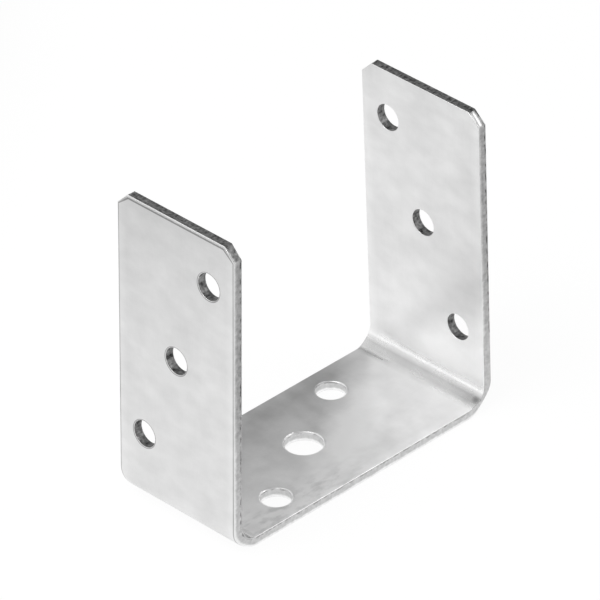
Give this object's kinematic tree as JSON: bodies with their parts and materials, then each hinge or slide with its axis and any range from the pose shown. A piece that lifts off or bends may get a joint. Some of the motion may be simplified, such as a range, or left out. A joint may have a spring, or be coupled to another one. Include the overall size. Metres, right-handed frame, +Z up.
{
  "type": "u bracket",
  "caption": "Flat steel bar bent into a U, with staggered bolt holes in both flanges and a row of holes across its base.",
  "frame": {"origin": "on the axis of the hole in the middle of the base, in the plane of the base's underside", "axes": "+X across the U from the left flange to the right one, +Y along the width of the bar, +Z up the flanges"},
  "size_m": [0.136, 0.0606, 0.132],
  "materials": {
    "zinc_plated_steel": "satin zinc plating"
  },
  "bodies": {
    "root": {"u_bracket": "zinc_plated_steel"}
  },
  "joints": []
}
